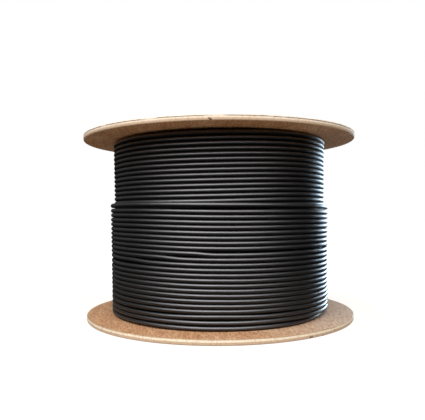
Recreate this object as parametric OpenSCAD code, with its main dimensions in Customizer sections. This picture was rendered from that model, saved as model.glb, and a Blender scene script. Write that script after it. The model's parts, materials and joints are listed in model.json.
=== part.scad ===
// Spool of single-core solar cable.
// Two plywood flanges seat on the ends of a barrel tube, and tie rods draw them together. The cable
// is wound on the barrel in full layers, and the outermost layer is only part wound.
// The axis is along Z, and the spool stands on its bottom flange, with the floor at z = 0.

/* [Flanges] */
// Diameter of a flange
flange_d = 317; // [280:1:400]
// Thickness of a flange's plywood
flange_t = 6; // [5:0.5:12]
// Radius of the rounded arrises round a flange's rim
rim_r = 1.2; // [0.5:0.1:2.4]
// Diameter of the arbor hole through both flanges
arbor_d = 40; // [20:1:70]
// Clear width between the flanges
inside_w = 200; // [150:1:260]

/* [Barrel] */
// Outside diameter of the barrel tube
barrel_d = 144; // [110:1:160]
// Wall of the barrel tube
barrel_wall = 5; // [3:0.5:8]
// Depth of the ring groove that seats the barrel in each flange
groove_depth = 2; // [1:0.25:3]
// Clearance on each side of the barrel's wall in its groove
groove_clear = 0.2; // [0.1:0.05:0.5]

/* [Cable] */
// Outside diameter of the cable
cable_d = 5.1; // [4:0.1:6.4]
// Gap between neighbouring turns
turn_gap = 0.05; // [0.01:0.01:0.2]
// How far a turn presses into the two turns below it
turn_press = 0.05; // [0.02:0.01:0.2]
// Layers that are wound from flange to flange
full_layers = 12; // [6:1:15]
// Turns that lie in the part-wound outermost layer
outer_turns = 24; // [2:1:27]
// Play between the first turn and the bottom flange
end_play = 0.15; // [0.1:0.05:0.5]
// Play between the innermost layer and the barrel
barrel_play = 0.1; // [0.05:0.05:0.5]
// How far the closed core stands outside the centres of the turns that show
core_fill = 0.8; // [0.4:0.1:1.4]

/* [Tie rods] */
// Number of tie rods
rod_count = 4; // [3:1:6]
// Angle of the first tie rod round the axis
rod_angle = 45; // [0:5:90]
// Diameter of a tie rod
rod_d = 6; // [4:0.5:8]
// Gap between a tie rod and the inside of the barrel
rod_gap = 2; // [1.5:0.5:6]
// Clearance round a tie rod in its holes
rod_clear = 0.25; // [0.1:0.05:0.5]
// Diameter of a tie rod's countersunk head
head_d = 12; // [10:0.5:14]
// Depth of the head's flat below the bottom face
head_recess = 0.3; // [0.2:0.1:0.6]
// Clearance round the head in its countersink
head_clear = 0.1; // [0.05:0.05:0.2]
// Length of thread past the nut
rod_proud = 2; // [1:0.5:6]

/* [Washers and nuts] */
// Outside diameter of a washer
washer_d = 18; // [14:0.5:24]
// Thickness of a washer
washer_t = 1.6; // [1:0.1:2.5]
// Width of a nut across its flats
nut_w = 10; // [9:0.5:13]
// Height of a nut
nut_h = 5; // [3:0.5:8]
// Clearance between a nut and the rod's thread
thread_clear = 0.05; // [0.02:0.01:0.1]

/* [Hidden] */
$fn = 96;

board_color = "#BC9470";
tube_color = "#A98B66";
jacket_color = "#1B1B1D";
steel_color = "#A9ABAE";

// Overshoot of a cut past the face that it opens
cut = 1;
flange_r = flange_d / 2;
arbor_r = arbor_d / 2;
barrel_r = barrel_d / 2;
barrel_bore_r = barrel_r - barrel_wall;

// Heights from the floor
inner_face_z = flange_t;
top_flange_z = inner_face_z + inside_w;
washer_z = top_flange_z + flange_t;
nut_z = washer_z + washer_t;
rod_top_z = nut_z + nut_h + rod_proud;

// Nesting of the layers: each one lies in the valleys of the layer below, half a pitch along
turn_pitch = cable_d + turn_gap;
half_pitch = turn_pitch / 2;
layer_step = sqrt(pow(cable_d - turn_press, 2) - pow(half_pitch, 2));
turns = floor((inside_w - 2 * end_play - half_pitch) / turn_pitch);
winding_bore_r = barrel_r + barrel_play;
first_turn_z = inner_face_z + end_play + half_pitch;
last_turn = turns - 1;

// Tie rods stand just inside the barrel
rod_r = rod_d / 2;
rod_circle_r = barrel_bore_r - rod_gap - rod_r;
head_r = head_d / 2;

// Radius of the centre line of a layer, counted from 0 at the barrel
function layer_r(layer) = winding_bore_r + cable_d / 2 + layer * layer_step;

// How far a layer is set up from the bottom flange: the outermost, and every second one under it
function nest_z(layer) = (full_layers - layer) % 2 == 0 ? half_pitch : 0;

// Height of the centre line of a turn, counted from 0 at the bottom flange
function turn_z(layer, turn) = first_turn_z + nest_z(layer) + turn * turn_pitch;

// A round board lying on z = 0, with its rim's arrises rounded
module board_profile() {
    translate([arbor_r, 0])
        square([flange_r - rim_r - arbor_r, flange_t]);
    translate([arbor_r, rim_r])
        square([flange_r - arbor_r, flange_t - 2 * rim_r]);
    for (arris_z = [rim_r, flange_t - rim_r])
        translate([flange_r - rim_r, arris_z])
            circle(r = rim_r);
}

// The board turned, with the barrel's groove cut into its upper face
module grooved_board() {
    rotate_extrude()
        difference() {
            board_profile();
            translate([barrel_bore_r - groove_clear, flange_t - groove_depth])
                square([barrel_wall + 2 * groove_clear, groove_depth + cut]);
        }
}

// Places its children at one tie rod
module at_rod(index) {
    rotate([0, 0, rod_angle + index * 360 / rod_count])
        translate([rod_circle_r, 0, 0])
            children();
}

// A rod's outline on its axis: a countersunk head and a plain shank
module rod_profile(grow, bottom, top) {
    shank_r = rod_r + grow;
    rim = head_r + grow;
    polygon([
        [0, bottom],
        [rim, bottom],
        [rim, head_recess],
        [shank_r, head_recess + rim - shank_r],
        [shank_r, top],
        [0, top]
    ]);
}

// One turn of the cable, cut through
module turn_section(layer, turn) {
    translate([layer_r(layer), turn_z(layer, turn)])
        circle(d = cable_d);
}

// Closed core of the winding, from the bore out to one layer and up to one height
module core_section(layer, top) {
    bottom = turn_z(full_layers, 0) - core_fill;
    translate([winding_bore_r, bottom])
        square([layer_r(layer) + core_fill - winding_bore_r, top - bottom]);
}

module bottom_flange() {
    color(board_color)
        difference() {
            grooved_board();
            for (i = [0 : rod_count - 1])
                at_rod(i) {
                    translate([0, 0, -cut])
                        cylinder(r = rod_r + rod_clear, h = flange_t + 2 * cut);
                    rotate_extrude()
                        rod_profile(head_clear, -cut, flange_t - groove_depth);
                }
        }
}

module top_flange() {
    color(board_color)
        difference() {
            translate([0, 0, top_flange_z + flange_t])
                mirror([0, 0, 1])
                    grooved_board();
            for (i = [0 : rod_count - 1])
                at_rod(i)
                    translate([0, 0, top_flange_z - cut])
                        cylinder(r = rod_r + rod_clear, h = flange_t + 2 * cut);
        }
}

module barrel() {
    length = inside_w + 2 * groove_depth;
    color(tube_color)
        translate([0, 0, inner_face_z - groove_depth])
            difference() {
                cylinder(r = barrel_r, h = length);
                translate([0, 0, -cut])
                    cylinder(r = barrel_bore_r, h = length + 2 * cut);
            }
}

module cable_winding() {
    color(jacket_color)
        rotate_extrude() {
            core_section(full_layers - 1, turn_z(full_layers - 1, last_turn) + core_fill);
            core_section(full_layers, turn_z(full_layers, outer_turns - 1));
            // the ends of the layers, against the flanges
            for (layer = [0 : full_layers - 1], turn = [0, last_turn])
                turn_section(layer, turn);
            // the last full layer, where the outermost one leaves it bare
            for (turn = [outer_turns : last_turn - 1])
                turn_section(full_layers - 1, turn);
            // the part-wound outermost layer
            for (turn = [0 : outer_turns - 1])
                turn_section(full_layers, turn);
        }
}

module tie_rod(index) {
    color(steel_color)
        at_rod(index)
            rotate_extrude()
                rod_profile(0, head_recess, rod_top_z);
}

module washer(index) {
    color(steel_color)
        at_rod(index)
            translate([0, 0, washer_z])
                difference() {
                    cylinder(d = washer_d, h = washer_t);
                    translate([0, 0, -cut])
                        cylinder(r = rod_r + rod_clear, h = washer_t + 2 * cut);
                }
}

module nut(index) {
    color(steel_color)
        at_rod(index)
            translate([0, 0, nut_z])
                difference() {
                    cylinder(d = nut_w / cos(30), h = nut_h, $fn = 6);
                    translate([0, 0, -cut])
                        cylinder(r = rod_r + thread_clear, h = nut_h + 2 * cut);
                }
}

bottom_flange();
top_flange();
barrel();
cable_winding();
for (i = [1 : rod_count]) {
    tie_rod(i - 1);
    washer(i - 1);
    nut(i - 1);
}
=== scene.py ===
# %% [markdown]
# # A spool of solar cable
# Two thin plywood flanges and a paper barrel are drawn together by four tie rods, and about 300 m of
# black single-core cable is wound between them. The measured solids come in as a fixed frame. This
# lesson dresses them: it models the boards, the turns of cable and the fastenings at their real size,
# gives each its finish, and lights the spool on a white table.

# %% Load the frame
import json
import math
import random

import bpy
from mathutils import Matrix, Vector, noise


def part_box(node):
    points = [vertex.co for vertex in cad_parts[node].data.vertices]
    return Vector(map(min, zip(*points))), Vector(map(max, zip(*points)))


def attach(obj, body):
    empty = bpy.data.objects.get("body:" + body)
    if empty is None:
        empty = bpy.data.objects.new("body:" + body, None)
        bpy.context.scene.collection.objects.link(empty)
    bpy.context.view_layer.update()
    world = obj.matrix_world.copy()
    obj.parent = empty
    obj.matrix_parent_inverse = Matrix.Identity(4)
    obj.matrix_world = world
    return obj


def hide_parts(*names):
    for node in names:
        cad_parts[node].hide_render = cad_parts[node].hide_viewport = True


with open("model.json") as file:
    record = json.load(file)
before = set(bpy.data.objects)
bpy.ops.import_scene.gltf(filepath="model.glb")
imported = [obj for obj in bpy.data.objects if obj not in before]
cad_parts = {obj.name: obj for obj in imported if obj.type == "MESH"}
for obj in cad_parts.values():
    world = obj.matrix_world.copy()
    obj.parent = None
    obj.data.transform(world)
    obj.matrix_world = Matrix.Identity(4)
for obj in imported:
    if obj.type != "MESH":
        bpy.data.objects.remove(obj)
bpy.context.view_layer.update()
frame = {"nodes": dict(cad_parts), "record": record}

# %% [markdown]
# ## Sizes
# The main sizes come from the frame, so that a piece lands where its solid is. A turned solid is cut
# into flat facets, which trims its box a little, so the wider of its two sides gives its radius.
# Smaller sizes, which a box doesn't give, stand in the cells that need them.

# %% Sizes of the flanges, the barrel and the winding
MM = 0.001
board_low, board_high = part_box("bottom_flange")
lid_low, lid_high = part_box("top_flange")
barrel_low, barrel_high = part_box("barrel")
winding_low, winding_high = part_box("cable_winding")

FLANGE_R = max(board_high.x, board_high.y)
FLANGE_T = board_high.z - board_low.z
INNER_FACE_Z = board_high.z
LID_FACE_Z = lid_low.z
BARREL_R = max(barrel_high.x, barrel_high.y)
WINDING_R = max(winding_high.x, winding_high.y)
ARBOR_R = frame["record"]["mounts"][0]["dims"]["r_mm"] * MM
print(f"flanges {2 * FLANGE_R / MM:.1f} mm across and {FLANGE_T / MM:.1f} mm thick,",
      f"winding radius {WINDING_R / MM:.1f} mm")

# %% [markdown]
# ## Turning a piece on the lathe
# Boards, washers, rods and the wound core are all round about one axis, as if turned on a lathe. A
# cylinder with many cuts would do, but an outline is easier to read: one vertex is pulled along the
# points of half a section, and the finished line is spun about the axis. The spin leaves a seam and, at
# the axis, many points in one place, so doubles are merged before the normals are turned outwards.

# %% Helpers for turned pieces
SMALLEST_STEP = 0.001 * MM
WIDEST_SLIVER = 0.006 * MM


def arc(centre, radius, start, end, count):
    """Points of an arc in an outline, from one angle to another in degrees."""
    angles = [math.radians(start + (end - start) * i / count) for i in range(count + 1)]
    return [(centre[0] + radius * math.cos(a), centre[1] + radius * math.sin(a)) for a in angles]


def tidy_mesh():
    """Closes the seams of the mesh in edit mode and points its faces outwards."""
    bpy.ops.mesh.select_all(action="SELECT")
    bpy.ops.mesh.remove_doubles(threshold=SMALLEST_STEP)
    bpy.ops.mesh.normals_make_consistent(inside=False)


def turned(name, outline, steps):
    """Spins an outline of (radius, height) points about the Z axis."""
    bpy.ops.mesh.primitive_plane_add(size=MM)
    piece = bpy.context.object
    piece.name = piece.data.name = name
    bpy.ops.object.mode_set(mode="EDIT")
    bpy.ops.mesh.merge(type="CENTER")
    bpy.ops.transform.translate(value=(outline[0][0], 0, outline[0][1]))
    for (r0, z0), (r1, z1) in zip(outline, outline[1:]):
        bpy.ops.mesh.extrude_vertices_move(TRANSFORM_OT_translate={"value": (r1 - r0, 0, z1 - z0)})
    bpy.ops.mesh.select_all(action="SELECT")
    bpy.ops.mesh.spin(steps=steps, angle=math.tau, center=(0, 0, 0), axis=(0, 0, 1))
    tidy_mesh()
    bpy.ops.object.mode_set(mode="OBJECT")
    return piece


def pick_only(piece):
    """Selects one piece and makes it the active one."""
    bpy.ops.object.select_all(action="DESELECT")
    piece.select_set(True)
    bpy.context.view_layer.objects.active = piece


def soften(piece, degrees=32):
    """Shades a piece smooth, apart from its sharp edges."""
    pick_only(piece)
    bpy.ops.object.shade_smooth_by_angle(angle=math.radians(degrees))


# %% [markdown]
# ## Cutting, joining and placing
# Holes and nicks are cut with boolean tools. A cut can leave slivers thinner than a hair, which are
# dissolved at once so that the mesh stays closed. A copy carries its place in a mesh of its own, so
# every finished object stays at the origin.

# %% Helpers for cutting, joining and placing
def carve(piece, tool, operation="DIFFERENCE"):
    """Cuts a piece with a tool, or keeps what both share; the tool goes, and slivers are cleared."""
    cut = piece.modifiers.new("cut", "BOOLEAN")
    cut.operation = operation
    cut.solver = "EXACT"
    cut.object = tool
    pick_only(piece)
    bpy.ops.object.modifier_apply(modifier=cut.name)
    bpy.data.objects.remove(tool)
    bpy.ops.object.mode_set(mode="EDIT")
    bpy.ops.mesh.select_all(action="SELECT")
    bpy.ops.mesh.dissolve_degenerate(threshold=WIDEST_SLIVER)
    bpy.ops.object.mode_set(mode="OBJECT")


def joined(name, parts):
    """Joins several meshes into one piece."""
    pick_only(parts[0])
    for part in parts:
        part.select_set(True)
    bpy.ops.object.join()
    parts[0].name = parts[0].data.name = name
    return parts[0]


def copied(name, piece, placement):
    """A copy of a piece with its own mesh, with its place in that mesh."""
    copy = piece.copy()
    copy.data = piece.data.copy()
    copy.name = copy.data.name = name
    copy.data.transform(placement)
    bpy.context.collection.objects.link(copy)
    return copy


def route_point(azimuth, radius, height):
    """A point round the spool: azimuth 0 faces the viewer, and a quarter turn on is at the right."""
    return Vector((radius * math.sin(azimuth), -radius * math.cos(azimuth), height))


def azimuth_point(radius, degrees, height):
    """The same, from an azimuth in degrees."""
    return route_point(math.radians(degrees), radius, height)


# %% [markdown]
# ## Writing shaders as sums
# A finish is easiest to follow when its maths reads like maths. The small class here holds one socket,
# and an operator on it adds the Math node that does the same. Any other node comes from its one method,
# which sets the node's settings first and then fills or links its sockets by name.

# %% A socket that can be used in sums
class Signal:
    def __init__(self, socket):
        self.socket = socket

    def node(self, kind, settings=None, inputs=None, output=0):
        """Adds a node to this socket's tree and returns one of its outputs."""
        made = self.socket.id_data.nodes.new(kind)
        for name, value in (settings or {}).items():
            setattr(made, name, value)
        for name, value in (inputs or {}).items():
            fill(pick(made.inputs, name), value)
        return Signal(pick(made.outputs, output))

    def math(self, operation, first, second=0.0):
        return self.node("ShaderNodeMath", {"operation": operation}, {0: first, 1: second})

    def __add__(self, other):
        return self.math("ADD", self, other)

    def __sub__(self, other):
        return self.math("SUBTRACT", self, other)

    def __mul__(self, other):
        return self.math("MULTIPLY", self, other)

    def __truediv__(self, other):
        return self.math("DIVIDE", self, other)

    def __rsub__(self, other):
        return self.math("SUBTRACT", other, self)

    __radd__ = __add__


def pick(sockets, name):
    """A socket by its number, or the one of that name that the node's settings have switched on."""
    if isinstance(name, int):
        return sockets[name]
    return next(s for s in sockets if s.name == name and s.enabled)


def fill(socket, value):
    """Links a signal to a socket, or sets the socket to a number, colour or vector."""
    if isinstance(value, Signal):
        socket.id_data.links.new(value.socket, socket)
    else:
        socket.default_value = value


# %% [markdown]
# ## Words for the finishes
# A few short functions say what the finishes are made of. Each adds a node or two, so that a finish
# reads as a list of what is seen.

# %% Words that the finishes share
def srgb(red, green, blue):
    """A colour given as it is seen on a screen, from 0 to 255, in the linear values that shaders use."""
    def linear(value):
        value = value / 255
        return value / 12.92 if value <= 0.04045 else ((value + 0.055) / 1.055) ** 2.4
    return (linear(red), linear(green), linear(blue), 1.0)


def new_finish(name):
    """A fresh material, the signal of its piece's own coordinates, and its shader node."""
    material = bpy.data.materials.new(name)
    material.use_nodes = True
    shader = material.node_tree.nodes["Principled BSDF"]
    place = Signal(shader.inputs["Roughness"]).node("ShaderNodeTexCoord", output="Object")
    return material, place, shader


def stretched(place, scale, turn=0.0):
    """Coordinates turned about Z and then scaled per axis, so that a pattern can run longer one way."""
    if turn:
        place = place.node("ShaderNodeMapping", None, {"Vector": place, "Rotation": (0, 0, -turn)})
    return place.node("ShaderNodeMapping", None, {"Vector": place, "Scale": scale})


def speckle(place, scale, detail=3.0, rough=0.55):
    """Even noise from 0 to 1, with about that many spots to a metre."""
    return place.node("ShaderNodeTexNoise", None,
                      {"Vector": place, "Scale": scale, "Detail": detail, "Roughness": rough})


def fade(value, low, high):
    """0 below one value, 1 above another, and smooth between them."""
    return value.node("ShaderNodeMapRange", {"interpolation_type": "SMOOTHSTEP"},
                      {"Value": value, "From Min": low, "From Max": high})


def along(place, axis):
    """One of a point's three coordinates."""
    return place.node("ShaderNodeSeparateXYZ", None, {0: place}, output=axis)


def axis_distance(place):
    """How far a point is from the spool's axis."""
    flat = place.node("ShaderNodeVectorMath", {"operation": "MULTIPLY"}, {0: place, 1: (1, 1, 0)})
    return place.node("ShaderNodeVectorMath", {"operation": "LENGTH"}, {0: flat}, output="Value")


def tint(amount, first, second):
    """Mixes two colours by a signal."""
    return amount.node("ShaderNodeMix", {"data_type": "RGBA"},
                       {"Factor": amount, "A": first, "B": second}, output="Result")


def relief(height, distance):
    """A bump of that real height."""
    return height.node("ShaderNodeBump", None, {"Height": height, "Distance": distance}, output="Normal")


# %% [markdown]
# ## Camera
# The photograph looks at the spool almost level, from about 0.6 m, a little above its middle. The
# numbers come from fitting the two flange ellipses and the winding's sides: height, a slight turn to
# the left, a slight tilt down and a slight roll. The spool stands below the middle of its lens's own
# picture, because the photograph was cropped, and the lens shift gives that back. The focal length
# follows from the frame's width of 425 pixels.

# %% Place the camera
IMAGE_W = 425
FOCAL_PIXELS = 510.6
CROP_PIXELS = 28.4
SENSOR_MM = 36.0
CAMERA_BACK = 0.6224
CAMERA_HEIGHT = 0.1220
YAW, PITCH, ROLL = (math.radians(a) for a in (-0.762, -2.796, -0.478))

lens = bpy.data.cameras.new("camera")
lens.sensor_width = SENSOR_MM
lens.lens = FOCAL_PIXELS * SENSOR_MM / IMAGE_W
lens.shift_y = CROP_PIXELS / IMAGE_W
camera = bpy.data.objects.new("camera", lens)
bpy.context.collection.objects.link(camera)
aim = Vector((math.sin(YAW) * math.cos(PITCH), math.cos(YAW) * math.cos(PITCH), math.sin(PITCH)))
turn = aim.to_track_quat("-Z", "Y").to_matrix().to_4x4() @ Matrix.Rotation(ROLL, 4, "Z")
camera.matrix_world = Matrix.Translation((0, -CAMERA_BACK, CAMERA_HEIGHT)) @ turn
bpy.context.scene.camera = camera
print(f"camera {CAMERA_BACK} m in front, lens {lens.lens:.1f} mm")

# %% [markdown]
# ## Plywood
# A flange is thin three-ply board. On its faces the grain runs one way, with fine fibres, redder
# streaks, short open pores, flecks a millimetre or two wide and slow pale patches. The lower board's
# face is also painted greyer towards the right, a painted sheen of the cool light from that side. On
# the sanded rim the three plies show as bands: a thin top veneer, a pale core and a tan lower ply, with
# a broken grey glue line under the veneer. Each board has its own band tones, and they are partly
# painted light: the upper board's pale top veneer and darker lower ply stand in for light from above
# and shade below, and the lower board's very pale core band is a painted highlight along its rim. The
# nicks that show are painted dark brown, a painted shade in their hollows, so their places are listed
# here, before the nicks are cut. All of that follows from the place of a point, so Object coordinates
# are enough and no picture is needed.

# %% Plywood finish
FACE_TAN = srgb(194, 147, 104)
FACE_RED = srgb(178, 127, 86)
FACE_PALE = srgb(206, 170, 132)
PORE_BROWN = srgb(132, 90, 56)
END_GRAIN = srgb(196, 164, 128)
GLUE_GREY = srgb(108, 92, 78)
NICK_PAINTED_SHADE = srgb(100, 74, 46)
PAINTED_SHEEN_GREY = srgb(188, 168, 148)
FLECK_DARK = srgb(136, 88, 52)
FLECK_PALE = srgb(230, 196, 156)
GLUE_LINE = 0.36 * MM
RIM_BAND = 1.6 * MM
BOARD_GRAIN = math.radians(98)
LID_GRAIN = math.radians(84)
# how far each face is painted greyer towards +X, a painted sheen of the cool light from the right
BOARD_PAINTED_SHEEN = 0.9
LID_PAINTED_SHEEN = 0.0
# each nick: its azimuth in degrees, its height as a share of the board's thickness, and its size in mm
BOARD_NICKS = [(33.5, 0.20, 1.2), (34.3, 0.26, 1.2), (40.2, 0.10, 1.0), (47.3, 0.45, 0.9)]
LID_NICKS = [(-3.0, 0.32, 0.9), (-2.7, 0.18, 1.0), (-2.4, 0.03, 1.2)]
# each board's plies: the height of the two joints as shares, the tones from the bottom up, which are
# partly painted light, and how far the glue line shows
BOARD_PLIES_AND_LIGHT = (0.53, 0.89, srgb(206, 179, 149), srgb(250, 234, 205), srgb(176, 148, 113), 0.3)
LID_PLIES_AND_LIGHT = (0.40, 0.72, srgb(192, 168, 140), srgb(226, 211, 188), srgb(228, 218, 200), 0.95)


def plywood(name, low_z, grain_turn, painted_sheen, plies_and_light, nicks):
    """Three-ply board whose face grain is turned from X by an angle, and whose face is painted greyer
    towards +X as a painted sheen; its rim's band tones are partly painted light.
    """
    material, place, shader = new_finish(name)
    fibres = speckle(stretched(place, (24, 900, 60), grain_turn), 1.0, 5.0, 0.6)
    streaks = speckle(stretched(place, (5, 110, 10), grain_turn), 1.0, 4.0)
    patches = speckle(place, 22, 3.0)
    pores = fade(speckle(stretched(place, (110, 1500, 200), grain_turn), 1.0, 2.0), 0.63, 0.74)
    grit = speckle(place, 1400, 2.0)
    flecks = speckle(stretched(place, (120, 620, 300), grain_turn), 1.0, 2.0, 0.7)
    dark_flecks = fade(flecks, 0.50, 0.68)

    face = tint(fade(streaks, 0.32, 0.70), FACE_RED, FACE_TAN)
    face = tint(fade(patches, 0.40, 0.75) * 0.6, face, FACE_PALE)
    face = tint(fade(fibres, 0.35, 0.75) * 0.30, face, FACE_PALE)
    face = tint(pores * 0.55, face, PORE_BROWN)
    # painted sheen: the face is painted greyer towards +X, in place of the cool light from the right
    face = tint(fade(along(place, "X"), 0, 1.05 * FLANGE_R) * painted_sheen, face, PAINTED_SHEEN_GREY)
    face = tint(dark_flecks * 0.72, face, FLECK_DARK)
    face = tint((1 - fade(flecks, 0.32, 0.50)) * 0.50, face, FLECK_PALE)

    radius = axis_distance(place)
    low_joint, high_joint, low_tone, core_tone, top_tone, glue_shows = plies_and_light
    wander = (speckle(stretched(place, (18, 18, 0)), 1.0, 2.0) - 0.5) * 0.10
    height = (along(place, "Z") - low_z) / FLANGE_T + wander
    # painted light: the band tones are partly real plies and partly the lit and shaded look of each rim
    rim_plies_and_light = tint(fade(height, low_joint - 0.03, low_joint + 0.03), low_tone, core_tone)
    rim_plies_and_light = tint(fade(height, high_joint - 0.02, high_joint + 0.02), rim_plies_and_light, top_tone)
    saw_marks = fade(speckle(stretched(place, (260, 260, 900)), 1.0, 3.0), 0.45, 0.75)
    rim_plies_and_light = tint(saw_marks * 0.35, rim_plies_and_light, END_GRAIN)
    rim_plies_and_light = tint(dark_flecks * 0.25, rim_plies_and_light, FLECK_DARK)
    glue_gap = place.math("ABSOLUTE", height - high_joint) * FLANGE_T
    broken = fade(speckle(place, 60, 2.0), 0.30, 0.46)
    glue = (1 - fade(glue_gap, GLUE_LINE * 0.5, GLUE_LINE * 1.6)) * broken * glue_shows
    rim_plies_and_light = tint(glue, rim_plies_and_light, GLUE_GREY)

    on_rim = fade(radius, FLANGE_R - RIM_BAND, FLANGE_R - 0.6 * RIM_BAND)
    in_bore = 1 - fade(radius, ARBOR_R + 0.1 * MM, ARBOR_R + 0.3 * MM)
    colour = tint(place.math("MAXIMUM", on_rim, in_bore), face, rim_plies_and_light)
    # painted shade: each nick that shows is painted dark brown in its hollow
    for azimuth, share, size in nicks:
        middle = azimuth_point(FLANGE_R - 0.3 * size * MM, azimuth, low_z + share * FLANGE_T)
        off = place.node("ShaderNodeVectorMath", {"operation": "DISTANCE"},
                         {0: place, 1: middle}, output="Value")
        colour = tint(1 - fade(off, 0.55 * size * MM, 1.15 * size * MM), colour, NICK_PAINTED_SHADE)
    fill(shader.inputs["Base Color"], colour)
    fill(shader.inputs["Roughness"], 0.54 + fibres * 0.20 - glue * 0.05)
    shader.inputs["Specular IOR Level"].default_value = 0.3
    fill(shader.inputs["Normal"], relief(fibres * 0.6 + grit * 0.4 - pores * 0.8, 0.10 * MM))
    return material


board_finish = plywood("board_plywood", board_low.z, BOARD_GRAIN, BOARD_PAINTED_SHEEN, BOARD_PLIES_AND_LIGHT, BOARD_NICKS)
lid_finish = plywood("lid_plywood", lid_low.z, LID_GRAIN, LID_PAINTED_SHEEN, LID_PLIES_AND_LIGHT, LID_NICKS)
print("plywood finishes:", board_finish.name, lid_finish.name)

# %% [markdown]
# ## Flanges
# Each flange is a round board cut from a sheet and sanded, so its rim is eased, not sharp. The outline
# turns the whole section at once: the face, the eased rim, the groove that seats the barrel and the
# arbor hole. One extra ring close to the rim keeps the flat face flat when it is shaded smooth.
# Vertices of the rim are then moved a little by smooth noise, because hand sanding never leaves a
# perfect edge.

# %% Turn the two boards
RIM_STEPS = 360
RIM_R = 1.2 * MM
EDGE_BREAK = 0.4 * MM
BARREL_WALL = 5.0 * MM
GROOVE_DEPTH = INNER_FACE_Z - barrel_low.z
GROOVE_CLEAR = 0.2 * MM
SANDING_WAVE = 0.16 * MM
LONG_WAVES, SHORT_WAVES = 90, 420


def flange_outline():
    """Half a section of a flange: heights run from its outer face at 0 to its grooved inner face."""
    rim_in = FLANGE_R - RIM_R
    groove_out = BARREL_R + GROOVE_CLEAR
    groove_in = BARREL_R - BARREL_WALL - GROOVE_CLEAR
    return ([(ARBOR_R, EDGE_BREAK), (ARBOR_R + EDGE_BREAK, 0), (rim_in - EDGE_BREAK, 0)]
            + arc((rim_in, RIM_R), RIM_R, -90, 0, 5)
            + arc((rim_in, FLANGE_T - RIM_R), RIM_R, 0, 90, 5)
            + [(rim_in - EDGE_BREAK, FLANGE_T),
               (groove_out, FLANGE_T), (groove_out, FLANGE_T - GROOVE_DEPTH),
               (groove_in, FLANGE_T - GROOVE_DEPTH), (groove_in, FLANGE_T),
               (ARBOR_R + EDGE_BREAK, FLANGE_T), (ARBOR_R, FLANGE_T - EDGE_BREAK), (ARBOR_R, EDGE_BREAK)])


def sand_rim(board, seed):
    """Moves the rim's vertices by smooth noise, inwards only, so that the board never grows."""
    for vertex in board.data.vertices:
        flat = Vector((vertex.co.x, vertex.co.y, 0))
        if flat.length > FLANGE_R - 2 * RIM_R:
            wave = 0.5 + 0.5 * noise.noise(vertex.co * LONG_WAVES + Vector((seed, 0, 0)))
            wave += 0.5 * noise.noise(vertex.co * SHORT_WAVES + Vector((0, seed, 0)))
            vertex.co -= flat.normalized() * SANDING_WAVE * max(0, wave)


board = turned("board", [(r, board_low.z + h) for r, h in flange_outline()], RIM_STEPS)
lid = turned("lid", [(r, lid_high.z - h) for r, h in flange_outline()], RIM_STEPS)
sand_rim(board, seed=3.7)
sand_rim(lid, seed=8.2)
print("boards turned:", len(board.data.polygons), "faces each")

# %% [markdown]
# ## Holes for the tie rods
# The boards are drilled for four rods, and the lower board is countersunk so that the heads lie under
# flush. Drilling is a cut, so a turned tool of the right section is copied to the four places and
# subtracted. The rods' own places come from the frame.

# %% Drill the boards
ROD_R = 3.0 * MM
HOLE_R = ROD_R + 0.25 * MM
HEAD_R = 6.0 * MM
HEAD_RECESS = 0.3 * MM
HEAD_CLEAR = 0.1 * MM
DRILL_STEPS = 40
ROD_NAMES = ["tie_rod_1", "tie_rod_2", "tie_rod_3", "tie_rod_4"]
rod_boxes = [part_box(name) for name in ROD_NAMES]
rod_places = [Vector(((low.x + high.x) / 2, (low.y + high.y) / 2, 0)) for low, high in rod_boxes]

sink_r = HEAD_R + HEAD_CLEAR
sink_tool = turned("sink_tool", [(0, -MM), (sink_r, -MM), (sink_r, HEAD_RECESS),
                                 (HOLE_R, HEAD_RECESS + sink_r - HOLE_R),
                                 (HOLE_R, FLANGE_T + MM), (0, FLANGE_T + MM)], DRILL_STEPS)
drill_tool = turned("drill_tool", [(0, lid_low.z - MM), (HOLE_R, lid_low.z - MM),
                                   (HOLE_R, lid_high.z + MM), (0, lid_high.z + MM)], DRILL_STEPS)
for flange, tool in ((board, sink_tool), (lid, drill_tool)):
    drills = [copied("drill", tool, Matrix.Translation(place)) for place in rod_places]
    carve(flange, joined("drills", drills))
    bpy.data.objects.remove(tool)
print("drilled", len(rod_places), "holes in each board")

# %% [markdown]
# ## Nicks in the rims
# Thin ply chips where it is knocked. The photograph shows one slanted notch on the upper board's lower
# edge, close to the middle, and three marks on the lower board at the right. Nicks are cut with small
# lumps, each a sphere of few faces, squashed, and roughened by moving its points. The notch takes three
# lumps in a row and the first mark takes two. Such lumps overlap, so they are cut one at a time. A few
# more small nicks, at seeded random places, keep the sides and the back from looking new.

# %% Nick the rims
EXTRA_NICKS = 9
EXTRA_START = 70
EXTRA_SPAN = 220
EXTRA_SHIFT = 0.7
NICK_OUT = 0.35
NICK_SQUASH = 0.75
NICK_ROUGHNESS = 0.35
NICK_WAVES = 1500
rng = random.Random(41)


def nick_tool(azimuth, share, size, low_z):
    """A rough lump on the rim, at a share of the board's thickness; its size is in millimetres."""
    centre = azimuth_point(FLANGE_R + NICK_OUT * size * MM, azimuth, low_z + share * FLANGE_T)
    bpy.ops.mesh.primitive_ico_sphere_add(subdivisions=2, radius=size * MM)
    lump = bpy.context.object
    lump.data.transform(Matrix.Diagonal((1.0, 1.0, NICK_SQUASH, 1.0)))
    for vertex in lump.data.vertices:
        vertex.co *= 1 + NICK_ROUGHNESS * noise.noise(vertex.co * NICK_WAVES + Vector((azimuth, size, 0)))
    lump.data.transform(Matrix.Translation(centre))
    return lump


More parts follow.
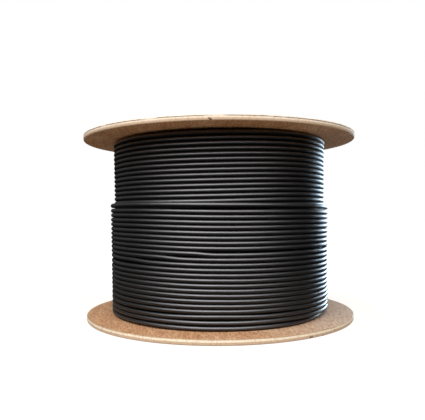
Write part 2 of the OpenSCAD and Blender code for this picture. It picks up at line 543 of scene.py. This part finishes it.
for flange, shown, low_z in ((board, BOARD_NICKS, board_low.z), (lid, LID_NICKS, lid_low.z)):
    extra = [(EXTRA_START + EXTRA_SPAN * (i + rng.random() * EXTRA_SHIFT) / EXTRA_NICKS,
              rng.choice((0.0, 1.0)), rng.uniform(0.5, 1.0)) for i in range(EXTRA_NICKS)]
    for nick in shown + extra:
        carve(flange, nick_tool(*nick, low_z))
    soften(flange)
board.data.materials.append(board_finish)
lid.data.materials.append(lid_finish)
print("lumps cut:", len(BOARD_NICKS + LID_NICKS), "for nicks that show and", 2 * EXTRA_NICKS, "more")

# %% [markdown]
# ## Jacket of the cable
# The jacket is extruded black polymer: satin, with very fine lines drawn along it by the die, faint
# scuffs, and a little pale dust where it was handled. Round the spool the cable runs level, so noise
# that is stretched along X and Y and packed along Z already follows it, without a map of its own. The
# outside and the upper side of each turn are polished by handling, while the undersides and the
# crevices between the turns stayed dull. So a clear coat gives the shine. It follows an attribute
# called polish, which each laid length of cable gets from the way that its surface faces. The black is
# painted deeper towards the crevices, a painted shade there. The core, which shows only at the bottom
# of the crevices, goes without the coat, so stays dull, and all of it takes that painted shade.

# %% Jacket finish
CABLE_R = 2.53 * MM
CREVICE_PAINTED_SHADE = (0.0010, 0.0010, 0.0011, 1.0)
JACKET_BLACK = (0.0024, 0.0024, 0.0028, 1.0)
JACKET_WORN = (0.0050, 0.0048, 0.0047, 1.0)
DUST = (0.040, 0.037, 0.034, 1.0)
POLISH_START = -0.52
POLISH_SPAN = 0.50


def jacket_finish(name, path_radius):
    """Black jacket of turns laid at that radius; its black is painted deeper inwards as a painted shade,
    and it shines where it is polished.
    """
    material, place, shader = new_finish(name)
    drawn = speckle(stretched(place, (45, 45, 2600)), 1.0, 3.0)
    scuffs = fade(speckle(stretched(place, (160, 160, 700)), 1.0, 4.0, 0.65), 0.58, 0.78)
    smears = speckle(stretched(place, (14, 14, 40)), 1.0, 3.0)
    grain = speckle(place, 5200, 2.0)
    crown_free_of_painted_shade = fade(axis_distance(place), path_radius + 0.35 * CABLE_R, path_radius + 0.95 * CABLE_R)
    polish = place.node("ShaderNodeAttribute", {"attribute_name": "polish"}, output="Fac")
    colour = tint(fade(smears, 0.35, 0.75) * 0.6, JACKET_BLACK, JACKET_WORN)
    colour = tint(scuffs * 0.12, colour, DUST)
    # painted shade: the black is painted deeper away from the outside of each turn, into the crevices
    fill(shader.inputs["Base Color"], tint(crown_free_of_painted_shade, CREVICE_PAINTED_SHADE, colour))
    fill(shader.inputs["Roughness"], 0.52 + smears * 0.08 + scuffs * 0.10)
    fill(shader.inputs["Coat Weight"], polish * (1 - scuffs * 0.35))
    fill(shader.inputs["Normal"], relief(drawn * 0.7 + grain * 0.3, 0.008 * MM))
    shader.inputs["Specular IOR Level"].default_value = 0.2
    shader.inputs["Coat IOR"].default_value = 2.0
    shader.inputs["Coat Roughness"].default_value = 0.35
    return material


def polish_turns(piece):
    """Stores how polished each point is: fully from just below the outside up, not at all beneath."""
    polish = piece.data.attributes.new("polish", "FLOAT", "POINT")
    for vertex, stored in zip(piece.data.vertices, polish.data):
        stored.value = min(1, max(0, (vertex.normal.z - POLISH_START) / POLISH_SPAN))


print("cable:", round(2 * CABLE_R / MM, 2), "mm thick")

# %% [markdown]
# ## Layers under the ones that show
# Twelve layers lie under the outermost one, each in the valleys of the layer below, half a pitch along.
# Only their end turns could ever be seen, through the slots beside the flanges. So the hidden layers
# are one turned core whose two ends have the true scallops: long arcs on the layers that stand out and
# short ones on those that lie between them. The arcs meet where neighbouring turns touch.

# %% Turn the wound core
FULL_LAYERS = 12
LAYER_STEP = 4.35 * MM
OUTER_LIFT = 4.6 * MM
OUTER_PATH_R = WINDING_R - CABLE_R - 0.06 * MM
BARE_PATH_R = OUTER_PATH_R - OUTER_LIFT
SIDE_PLAY = 0.2 * MM
HALF_PITCH = 2.56 * MM
TOUCH_ANGLE = math.degrees(math.atan2(HALF_PITCH, LAYER_STEP))
CORE_STEPS = 144
ARC_POINTS = 6
TOP_TURN_Z = winding_high.z - CABLE_R
STEP_Z = winding_low.z + 110 * MM
CORE_OUT = 0.8 * MM
CORE_IN = 0.4 * MM


def scalloped_end(outer_z, upward):
    """The end turns of all the full layers but the last, from the barrel outwards, as touching arcs."""
    points = []
    for layer in range(FULL_LAYERS - 1):
        radius = BARE_PATH_R - (FULL_LAYERS - 1 - layer) * LAYER_STEP
        stands_out = (FULL_LAYERS - layer) % 2 == (0 if upward else 1)
        sink = 0 if stands_out else 2 * TOUCH_ANGLE
        inwards = 0 if stands_out else -HALF_PITCH if upward else HALF_PITCH
        if upward:
            start, end = 180 + TOUCH_ANGLE - sink, -TOUCH_ANGLE + sink
        else:
            start, end = 180 - TOUCH_ANGLE + sink, 360 + TOUCH_ANGLE - sink
        points += arc((radius, outer_z + inwards), CABLE_R, start, end, ARC_POINTS)
    return points


low_end = scalloped_end(INNER_FACE_Z + SIDE_PLAY + CABLE_R, False)
high_end = scalloped_end(TOP_TURN_Z, True)
core_outline = (low_end + [(BARE_PATH_R + CORE_OUT, low_end[-1][1]), (BARE_PATH_R + CORE_OUT, STEP_Z),
                           (BARE_PATH_R - CORE_IN, STEP_Z), (BARE_PATH_R - CORE_IN, high_end[-1][1])]
                + high_end[::-1] + [low_end[0]])
core = turned("wound_core", core_outline, CORE_STEPS)
soften(core, degrees=50)
# the core lies inside the winding radius, so all of it takes the painted crevice shade
core.data.materials.append(jacket_finish("core_jacket", WINDING_R))
print("wound core:", len(core.data.polygons), "faces")

# %% [markdown]
# ## Laying the cable
# The cable itself is a helix, but a real one is not even: its turns tilt, sway and arch as they go
# round, and a slack turn leaves a gap. The route is worked out turn by turn by a small function, drawn
# as one open curve with a round bevel, and then made a mesh. A curve suits it, because a swept tube
# keeps the same section all along.

# %% Helper that draws a laid cable
POINTS_PER_TURN = 180
ROUND_SIDES = 4


def waver(turn, size, seed):
    """A slow, even wandering along the cable, made of three sines."""
    return size * sum(math.sin(math.tau * rate * turn + seed * (i + 1)) / (i + 1)
                      for i, rate in enumerate((0.31, 0.87, 2.23)))


def eased(value):
    """0 below 0, 1 above 1, and smooth between them."""
    value = min(1, max(0, value))
    return value * value * (3 - 2 * value)


def laid_cable(name, route, first, last, finish):
    """Draws a cable along route(turn), which gives azimuth in radians, radius and height."""
    count = round((last - first) * POINTS_PER_TURN)
    curve = bpy.data.curves.new(name, "CURVE")
    curve.dimensions = "3D"
    curve.bevel_depth = CABLE_R
    curve.bevel_resolution = ROUND_SIDES
    curve.use_fill_caps = True
    spline = curve.splines.new("POLY")
    spline.points.add(count)
    for i, point in enumerate(spline.points):
        point.co = (*route_point(*route(first + (last - first) * i / count)), 1)
    cable = bpy.data.objects.new(name, curve)
    bpy.context.collection.objects.link(cable)
    pick_only(cable)
    bpy.ops.object.convert(target="MESH")
    cable = bpy.context.object
    bpy.ops.object.mode_set(mode="EDIT")
    tidy_mesh()
    bpy.ops.object.mode_set(mode="OBJECT")
    soften(cable, degrees=50)
    polish_turns(cable)
    cable.data.materials.append(finish)
    return cable


# %% [markdown]
# ## The last full layer
# It was wound from the top down, so it climbs to the right. Fourteen of its turns lie bare above the
# outermost layer, and two more run on under it, where the slack top turn lets one look in. Its first
# end comes up from the layer below, behind the spool.

# %% Lay the last full layer
BARE_TOP_Z = LID_FACE_Z - 5.35 * MM
BARE_PITCH = 5.11 * MM
BARE_SWAY = 0.7 * MM
BARE_LEAN = -0.6 * MM
BARE_ARCH = (2.95 * MM, -2.0 * MM)
BARE_START, BARE_END = -0.47, 16.2
BARE_RISE = 0.16


def arched(azimuth, arch):
    """How much a turn arches up between front and side; it is level again at the back."""
    side = math.sin(azimuth) ** 2
    return side * (arch[0] + arch[1] * side)


def bare_route(turn):
    """Azimuth, radius and height of the last full layer's cable at a turn, counted from the top."""
    azimuth = -math.tau * turn
    height = BARE_TOP_Z - BARE_PITCH * turn + BARE_SWAY * math.sin(2 * azimuth)
    height += BARE_LEAN * math.sin(azimuth) + arched(azimuth, BARE_ARCH)
    rise = eased((turn - BARE_START) / BARE_RISE)
    radius = BARE_PATH_R - LAYER_STEP * (1 - rise) + waver(turn, size=0.07 * MM, seed=1.9)
    return azimuth, radius, height + waver(turn, size=0.035 * MM, seed=4.4)


bare_jacket = jacket_finish("bare_jacket", BARE_PATH_R)
bare_layer = laid_cable("bare_layer", bare_route, BARE_START, BARE_END, bare_jacket)
print("bare layer:", len(bare_layer.data.polygons), "faces")

# %% [markdown]
# ## The outermost layer
# It was wound back from the bottom up, so it falls to the right, and it stops after twenty-four turns.
# Its first stretch still lies at the depth of the layer below, flat on the board, and steps up at the
# right. The turns sag a little towards the viewer, the lowest ones dip at the left, and those just
# above sag at both sides. Gaps of about a millimetre wander between the turns as they go round, and the
# top turn lies slack: in front it stands off by almost 2 mm, and it closes up again at both sides.

# %% Lay the outermost layer
OUTER_LOW_Z = INNER_FACE_Z + 2.8 * MM
OUTER_PITCH = 5.06 * MM
OUTER_TILT = 1.1 * MM
OUTER_SWAY = -0.16 * MM
OUTER_LEAN = -0.65 * MM
OUTER_ARCH = (2.8 * MM, -3.0 * MM)
LEFT_DIP = 1.9 * MM
SIDE_SAG = 0.9 * MM
FLAT_Z = INNER_FACE_Z + CABLE_R + 0.1 * MM
START_TURN = -0.75
STEP_UP, STEP_UP_SPAN = -0.20, 0.12
TOP_TURN = 23
SLACK = 1.2 * MM
SLACK_SPAN = 0.15
TAIL_TURN = TOP_TURN + 0.45
SIDE_AZIMUTH = math.radians(75)
SIDE_SHARPNESS = 1.2
# each gap: the turn that it lies above in front, its width, and how many turns later it comes at left
# and at right; it opens along part of a turn
GAP_START, GAP_SPAN = 0.1, 0.8
GAPS = [(0, 0.54 * MM, 0, 0), (1, 1.0 * MM, 1.6, 1.6), (14, 1.2 * MM, -3.2, 0), (18, 0.25 * MM, 0, 0),
        (20, 0.25 * MM, 0, 0), (22, 0.6 * MM, 0, 0)]


def side_share(azimuth, side):
    """1 at the left (side -1) or right (side 1) of the spool, and 0 in front and at the back."""
    apart = math.remainder(azimuth - side * SIDE_AZIMUTH, math.tau)
    return max(0, math.cos(SIDE_SHARPNESS * apart)) if abs(apart) < math.pi / 2 else 0


def outer_route(turn):
    """Azimuth, radius and height of the outermost layer's cable at a turn, counted from the bottom."""
    azimuth = -math.tau * turn
    left, right = side_share(azimuth, -1), side_share(azimuth, 1)
    height = OUTER_LOW_Z + OUTER_PITCH * turn
    for after, width, left_later, right_later in GAPS:
        past = turn - after - left_later * left - right_later * right - GAP_START
        height += width * eased(past / GAP_SPAN)
    height += OUTER_TILT * (1 - math.cos(azimuth)) + OUTER_SWAY * math.sin(2 * azimuth)
    height += OUTER_LEAN * math.sin(azimuth) + arched(azimuth, OUTER_ARCH)
    # the dip is gone from turn 2 to 6; the sag comes from turn 1 to 5 and is gone from 9 to 14
    height -= LEFT_DIP * left * (1 - eased((turn - 2) / 4))
    height -= SIDE_SAG * (left + right) * eased((turn - 1) / 4) * (1 - eased((turn - 9) / 5))
    height += SLACK * math.exp(-((turn - TOP_TURN) / SLACK_SPAN) ** 2)
    rise = eased((turn - STEP_UP) / STEP_UP_SPAN)
    radius = OUTER_PATH_R - OUTER_LIFT * (1 - rise) + waver(turn, size=0.06 * MM, seed=0.7)
    return azimuth, radius, max(FLAT_Z, height + waver(turn, size=0.035 * MM, seed=2.6))


outer_jacket = jacket_finish("outer_jacket", OUTER_PATH_R)
outer_layer = laid_cable("outer_layer", outer_route, START_TURN, TAIL_TURN, outer_jacket)
print("outermost layer:", len(outer_layer.data.polygons), "faces")

# %% [markdown]
# ## The cut end
# The cable's free end lies behind the spool, cut square. A cut shows what is inside: a pale inner
# insulation and a bundle of fine tinned strands. The strands are one short rod, modelled once and
# copied into rings, six more in each, as a strander lays them.

# %% Model the cut end
def cut_end_finish(name, colour, metallic, rough):
    """A plain finish with slight mottling for the small faces of the cut."""
    material, place, shader = new_finish(name)
    spots = speckle(place, 2600, 2.0)
    darker = tuple(c * 0.6 for c in colour[:3]) + (1.0,)
    fill(shader.inputs["Base Color"], tint(spots, colour, darker))
    fill(shader.inputs["Roughness"], rough + spots * 0.15)
    shader.inputs["Metallic"].default_value = metallic
    return material


insulation = cut_end_finish("inner_insulation", (0.62, 0.60, 0.56, 1.0), 0.0, 0.45)
tinned = cut_end_finish("tinned_strands", (0.66, 0.64, 0.60, 1.0), 1.0, 0.3)
STRAND_R = 0.17 * MM
STRAND_RINGS = 4
CUT_PROUD = 0.15 * MM
CORE_R = 1.9 * MM

sleeve_top = CUT_PROUD * 0.6
sleeve = turned("cut_sleeve", [(0, -MM), (CORE_R, -MM), (CORE_R, sleeve_top), (0, sleeve_top)], steps=32)
sleeve.data.materials.append(insulation)
strand = turned("strand", [(0, -MM), (STRAND_R, -MM), (STRAND_R, CUT_PROUD),
                           (STRAND_R * 0.8, CUT_PROUD * 1.3), (0, CUT_PROUD * 1.4)], steps=8)
strand.data.materials.append(tinned)
strands = []
for ring in range(STRAND_RINGS):
    in_ring = max(1, 6 * ring)
    for i in range(in_ring):
        angle = math.tau * i / in_ring
        spot = (2 * STRAND_R * ring * math.cos(angle), 2 * STRAND_R * ring * math.sin(angle), 0)
        strands.append(copied("strand", strand, Matrix.Translation(spot)))
bpy.data.objects.remove(strand)
cut_end = joined("cut_end", [sleeve] + strands)
tail = outer_route(TAIL_TURN)
tail_aim = Vector((-math.cos(tail[0]), -math.sin(tail[0]), 0))
tail_turn = tail_aim.to_track_quat("Z", "Y").to_matrix().to_4x4()
cut_end.data.transform(Matrix.Translation(route_point(*tail)) @ tail_turn)
outer_layer = joined("outer_layer", [outer_layer, cut_end])
print("cut end:", len(strands), "strands")

# %% [markdown]
# ## Zinc plate
# The fastenings are bright zinc-plated steel. Plate is not a mirror: it is slightly cloudy, with a
# faint blue and straw tint and fine marks from the barrel that it was plated in.

# %% Zinc finish
def zinc_finish():
    """Bright plate, a little cloudy and finely rubbed."""
    material, place, shader = new_finish("bright_zinc")
    cloud = speckle(place, 260, 4.0)
    rub = speckle(stretched(place, (2200, 300, 900)), 1.0, 3.0)
    fill(shader.inputs["Base Color"], tint(cloud, (0.56, 0.60, 0.66, 1.0), (0.70, 0.68, 0.62, 1.0)))
    fill(shader.inputs["Roughness"], 0.24 + cloud * 0.14 + rub * 0.08)
    fill(shader.inputs["Normal"], relief(rub, 0.012 * MM))
    shader.inputs["Metallic"].default_value = 1.0
    return material


zinc = zinc_finish()
print("zinc finish:", zinc.name)

# %% [markdown]
# ## Washers and nuts
# A stamped washer has one rounded edge and one sharp one, so its outline is drawn that way and turned.
# A hex nut starts as a six-sided prism with a hole. Its corners are cut back by a cone on both faces,
# and that cone is what gives a nut its curved edges, so a turned lens is laid over it and only what
# both share is kept.

# %% Model a washer and a nut
washer_low, washer_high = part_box("washer_1")
nut_low, nut_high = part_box("nut_1")
WASHER_R = (washer_high.x - washer_low.x) / 2
WASHER_EASE = 0.35 * MM
NUT_FLATS = 10.0 * MM
NUT_CORNER_R = NUT_FLATS / 2 / math.cos(math.radians(30))
NUT_FACE_R = NUT_FLATS * 0.475
NUT_BORE_R = ROD_R + 0.05 * MM
BORE_EASE = 0.5 * MM
# the lens drops to the nut's corners, and a little more by its own edge, one millimetre further out
LENS_R = NUT_CORNER_R + MM
LENS_DROP = (NUT_CORNER_R - NUT_FACE_R) * math.tan(math.radians(30))
LENS_EDGE_DROP = 0.58 * MM
SMALL_STEPS = 48
WASHER_TOP = washer_high.z - WASHER_EASE


def hex_prism(corner_r, middle_z, depth):
    """A six-sided prism on the axis, centred at a height."""
    bpy.ops.mesh.primitive_cylinder_add(vertices=6, radius=corner_r, depth=depth)
    prism = bpy.context.object
    prism.data.transform(Matrix.Translation((0, 0, middle_z)))
    return prism


washer = turned("washer", [(HOLE_R, washer_low.z), (WASHER_R, washer_low.z)]
                + arc((WASHER_R - WASHER_EASE, WASHER_TOP), WASHER_EASE, 0, 90, 4)
                + arc((HOLE_R + WASHER_EASE, WASHER_TOP), WASHER_EASE, 90, 180, 4)
                + [(HOLE_R, washer_low.z)], SMALL_STEPS)

nut = hex_prism(NUT_CORNER_R, (nut_low.z + nut_high.z) / 2, nut_high.z - nut_low.z)
lens_outline = [(0, nut_low.z), (NUT_FACE_R, nut_low.z),
                (LENS_R, nut_low.z + LENS_DROP + LENS_EDGE_DROP),
                (LENS_R, nut_high.z - LENS_DROP - LENS_EDGE_DROP),
                (NUT_FACE_R, nut_high.z), (0, nut_high.z)]
bore_outline = [(0, nut_low.z - MM), (NUT_BORE_R, nut_low.z - MM), (NUT_BORE_R, nut_high.z - BORE_EASE),
                (NUT_BORE_R + 2 * BORE_EASE, nut_high.z + BORE_EASE), (0, nut_high.z + BORE_EASE)]
carve(nut, turned("nut_lens", lens_outline, SMALL_STEPS), "INTERSECT")
carve(nut, turned("nut_drill", bore_outline, SMALL_STEPS))
print("washer and nut:", len(washer.data.polygons), "and", len(nut.data.polygons), "faces")

# %% [markdown]
# ## Tie rods
# A rod has a countersunk head with a hexagon socket below, a plain shank, and a thread at its top. The
# shank is turned, the socket is cut with a six-sided plug, and the thread is a real helix: a small
# triangle carried round by the Screw modifier and capped at both ends.

# %% Model a tie rod
rod_top = rod_boxes[0][1].z
THREAD_PITCH = 1.0 * MM
THREAD_DEPTH = 0.55 * MM
THREAD_TURNS = 18
THREAD_STEPS = 36
THREAD_SUNK = 0.1 * MM
SOCKET_CORNER_R = 4.0 * MM / 2 / math.cos(math.radians(30))
SOCKET_DEPTH = 2.4 * MM
HEAD_EASE = 0.2 * MM
TIP_IN, TIP_DOWN = 0.5 * MM, 0.6 * MM
thread_low = rod_top - (THREAD_TURNS + 1.6) * THREAD_PITCH
root_r = ROD_R - THREAD_DEPTH

rod = turned("rod", [(0, HEAD_RECESS), (HEAD_R - HEAD_EASE, HEAD_RECESS),
                     (HEAD_R, HEAD_RECESS + HEAD_EASE),
                     (ROD_R, HEAD_RECESS + HEAD_R - ROD_R), (ROD_R, thread_low),
                     (root_r, thread_low + THREAD_DEPTH), (root_r, rod_top - TIP_DOWN),
                     (root_r - TIP_IN, rod_top), (0, rod_top)], DRILL_STEPS)
carve(rod, hex_prism(SOCKET_CORNER_R, HEAD_RECESS, 2 * SOCKET_DEPTH))

bpy.ops.mesh.primitive_circle_add(vertices=3, radius=1.0)
thread = bpy.context.object
corners = [(root_r - THREAD_SUNK, 0.0), (ROD_R, 0.42 * THREAD_PITCH),
           (root_r - THREAD_SUNK, 0.84 * THREAD_PITCH)]
for vertex, (radius, rise) in zip(thread.data.vertices, corners):
    vertex.co = (radius, 0, thread_low + THREAD_DEPTH + rise)
screw = thread.modifiers.new("screw", "SCREW")
screw.axis = "Z"
screw.steps = screw.render_steps = THREAD_STEPS
screw.iterations = THREAD_TURNS
screw.screw_offset = THREAD_PITCH
bpy.ops.object.modifier_apply(modifier=screw.name)
bpy.ops.object.mode_set(mode="EDIT")
tidy_mesh()
bpy.ops.mesh.fill_holes(sides=3)
tidy_mesh()
bpy.ops.object.mode_set(mode="OBJECT")
rod = joined("rod", [rod, thread])
print("tie rod:", len(rod.data.polygons), "faces")

# %% [markdown]
# ## Fastenings in their places
# The rod, the washer and the nut were modelled on the axis. Each is copied to the rods' four places and
# turned differently there, because no fitter leaves four nuts at one angle.

# %% Set the fastenings in their places
NUT_TURNS = (12, 47, 31, 5)
fastenings = []
for i, place in enumerate(rod_places):
    spin = Matrix.Translation(place) @ Matrix.Rotation(math.radians(NUT_TURNS[i]), 4, "Z")
    for kind, model in (("tie_rod", rod), ("washer", washer), ("nut", nut)):
        piece = copied(f"zinc_{kind}_{i + 1}", model, spin)
        soften(piece)
        piece.data.materials.append(zinc)
        fastenings.append((piece, f"{kind}_{i + 1}"))
for model in (rod, washer, nut):
    bpy.data.objects.remove(model)
print("fastenings:", len(fastenings))

# %% [markdown]
# ## The paper barrel
# The barrel's solid already has the right shape, so it stays and only takes a finish. Such tubes are
# wound from brown paper on a slant, which leaves a long spiral seam. The seam is drawn wherever height
# plus a share of the angle round the axis passes the middle of a strip.

# %% Paper finish
STRIP_W = 90 * MM


def paper_finish():
    """Brown paper with a spiral seam, fibres and slow blotches."""
    material, place, shader = new_finish("brown_paper")
    around = place.math("ARCTAN2", along(place, "Y"), along(place, "X"))
    climb = along(place, "Z") / STRIP_W + around / math.tau
    seam_place = place.math("ABSOLUTE", place.math("FRACT", climb) - 0.5)
    seam = 1 - fade(seam_place, 0.004, 0.012)
    fibres = speckle(stretched(place, (300, 300, 120)), 1.0, 5.0, 0.65)
    blotch = speckle(place, 30, 3.0)
    colour = tint(fibres, srgb(158, 122, 84), srgb(190, 154, 112))
    colour = tint(fade(blotch, 0.4, 0.8) * 0.4, colour, srgb(142, 108, 74))
    fill(shader.inputs["Base Color"], tint(seam * 0.7, colour, srgb(96, 70, 46)))
    fill(shader.inputs["Roughness"], 0.75 + fibres * 0.15)
    fill(shader.inputs["Normal"], relief(fibres * 0.5 - seam, 0.15 * MM))
    return material


barrel = frame["nodes"]["barrel"]
barrel.data.materials.clear()
barrel.data.materials.append(paper_finish())
print("barrel finish:", barrel.data.materials[0].name)

# %% [markdown]
# ## Handing the pieces to the frame
# The spool has no joint, so everything rides on its one body. Each new piece that stands for a solid
# hides that solid.

# %% Ride and replace
def hand_over(piece, slot, *nodes):
    """Sets a piece on the spool's body and hides the solids that it stands for; the slot is not used."""
    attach(piece, "root")
    if nodes:
        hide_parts(*nodes)


hand_over(board, "flange_board", "bottom_flange")
hand_over(lid, "flange_board", "top_flange")
hand_over(outer_layer, "cable_jacket", "cable_winding")
hand_over(bare_layer, "cable_jacket")
hand_over(core, "cable_jacket")
for piece, node in fastenings:
    hand_over(piece, "zinc_steel", node)
print("handed over: boards, winding and", len(fastenings), "fastenings")

# %% [markdown]
# ## Table and backdrop
# The photograph has a plain white ground. The table is a wide disc of pale matt board. To the lens and
# in reflections it also glows, fully white a little way off, so that it meets the white surroundings
# without a line. Close to the spool it glows less, and its own matt part takes the soft shadow.

# %% Model the table
TABLE_R = 6.0
TABLE_DROP = 0.1 * MM
TABLE_GREY = (0.33, 0.29, 0.24, 1.0)
TABLE_GLOW = 0.74
GLOW_NEAR, GLOW_FAR = 0.17, 0.42


def seen_by_lens(tree):
    """1 for rays from the camera, and for those that a shiny or clear surface sends on."""
    path = Signal(tree.nodes.new("ShaderNodeLightPath").outputs["Is Camera Ray"])
    outputs = path.socket.node.outputs
    direct = path.math("MAXIMUM", path, Signal(outputs["Is Glossy Ray"]))
    return path.math("MAXIMUM", direct, Signal(outputs["Is Transmission Ray"]))


table = turned("table", [(0, -TABLE_DROP), (TABLE_R, -TABLE_DROP)], steps=64)
table_paint, table_place, table_shader = new_finish("table_paint")
table_shader.inputs["Base Color"].default_value = TABLE_GREY
table_shader.inputs["Roughness"].default_value = 0.9
table_shader.inputs["Specular IOR Level"].default_value = 0.0
table_shader.inputs["Emission Strength"].default_value = 1.0
lens_ray = seen_by_lens(table_paint.node_tree)
away = fade(axis_distance(table_place), GLOW_NEAR, GLOW_FAR)
glow = lens_ray * (TABLE_GLOW + away * (1 - TABLE_GLOW))
fill(table_shader.inputs["Emission Color"], tint(glow, (0, 0, 0, 1), (1, 1, 1, 1)))
table.data.materials.append(table_paint)
print("table:", 2 * TABLE_R, "m across")

# %% [markdown]
# ## Lamps
# The highlights on the turns tell where the light stood: a broad soft one in front, strongest a little
# to the left and fading to both sides, and a cool window-like one, low at the right and behind, which
# draws the white glints down the right edge. A row of soft boxes makes the front light, each with its
# own strength. They hang high enough for the upper board to shade the first turns below it, as in the
# photograph. A very faint one at the left keeps that edge from going black, one above gives the rims
# their bright upper edge, and a small one behind serves views from there. The lens never sees the
# lamps.

# %% Hang the lamps
AIM_Z = 0.11


def soft_lamp(name, azimuth, elevation, distance, width, height, radiance, colour):
    """A rectangular lamp facing the spool; its power follows from the radiance that is wanted."""
    lamp = bpy.data.lights.new(name, "AREA")
    lamp.shape = "RECTANGLE"
    lamp.size, lamp.size_y = width, height
    lamp.energy = radiance * math.pi * width * height
    lamp.color = colour
    stand = bpy.data.objects.new(name, lamp)
    bpy.context.collection.objects.link(stand)
    flat = distance * math.cos(math.radians(elevation))
    spot = azimuth_point(flat, azimuth, AIM_Z + distance * math.sin(math.radians(elevation)))
    aim = Vector((0, 0, AIM_Z)) - spot
    stand.matrix_world = Matrix.Translation(spot) @ aim.to_track_quat("-Z", "Y").to_matrix().to_4x4()
    stand.visible_camera = False
    return stand


FRONT = (0.985, 0.96, 1.0)
COOL = (0.63, 0.83, 1.0)
WHITE = (1.0, 1.0, 1.0)
ROW_STRENGTHS = (0.12, 0.5, 1.6, 2.6, 3.5, 3.2, 2.7, 2.5, 2.2, 1.4, 0.5)
ROW_START = -90
ROW_STEP = 15
ROW_ELEVATION = 37
ROW_DISTANCE = 1.3
ROW_HEIGHT = 1.05
ROW_WIDTH = 2 * ROW_DISTANCE * math.tan(math.radians(ROW_STEP / 2))
for i, strength in enumerate(ROW_STRENGTHS):
    soft_lamp(f"row_{i}", ROW_START + ROW_STEP * i, ROW_ELEVATION, ROW_DISTANCE,
              ROW_WIDTH, ROW_HEIGHT, strength, FRONT)
# each lamp's azimuth, elevation, distance, width, height, radiance and colour
soft_lamp("side", -118, 16, 1.3, 0.95, 1.1, 0.06, WHITE)
soft_lamp("window", 140, 2, 1.2, 0.52, 0.55, 9.6, COOL)
soft_lamp("above", 0, 89, 1.7, 1.3, 1.3, 1.6, WHITE)
soft_lamp("back", 180, 20, 1.3, 0.50, 0.56, 1.0, WHITE)
print("lamps:", len(bpy.data.lights))

# %% [markdown]
# ## Dark booth
# Black cable looks black only where it mirrors something dark. In a studio one would stand dark cards
# round it and lay one on the table. Here one turned booth does both: a floor ring and a wall, open at
# the top, so that the plated nuts still mirror the white above. Only reflections see it, so it takes no
# light from the wood.

# %% Set up the booth
BOOTH_R = 1.7
BOOTH_H = 2.4
BOOTH_GREY = (0.08, 0.08, 0.08, 1.0)
BOOTH_DARK = (0.012, 0.012, 0.012, 1.0)
BOOTH_DARK_H = 0.3
BOOTH_HOLE_R = FLANGE_R + 8 * MM
BOOTH_LIFT = 0.2 * MM
booth = turned("booth", [(BOOTH_HOLE_R, BOOTH_LIFT), (BOOTH_R, BOOTH_LIFT), (BOOTH_R, BOOTH_H)], steps=64)
booth_paint, booth_place, booth_shader = new_finish("booth_paint")
booth_shader.inputs["Roughness"].default_value = 0.9
booth_tone = tint(fade(along(booth_place, "Z"), 0.0, BOOTH_DARK_H), BOOTH_DARK, BOOTH_GREY)
fill(booth_shader.inputs["Base Color"], booth_tone)
booth.data.materials.append(booth_paint)
booth.visible_camera = False
booth.visible_diffuse = False
booth.visible_shadow = False
booth.visible_transmission = False
print("booth:", 2 * BOOTH_R, "m across and", BOOTH_H, "m high")

# %% [markdown]
# ## Surroundings
# The world is white to the lens and in reflections, as the photograph's ground is. To matt surfaces it
# gives only a low, even light, so that the lamps model the forms.

# %% Set the world and the view
AMBIENT = 0.30
world = bpy.data.worlds.new("studio")
bpy.context.scene.world = world
world.use_nodes = True
sky = world.node_tree.nodes["Background"]
sky.inputs["Color"].default_value = (1, 1, 1, 1)
fill(sky.inputs["Strength"], AMBIENT + seen_by_lens(world.node_tree) * (1 - AMBIENT))
bpy.context.scene.view_settings.view_transform = "Standard"
print("world ambient:", AMBIENT)
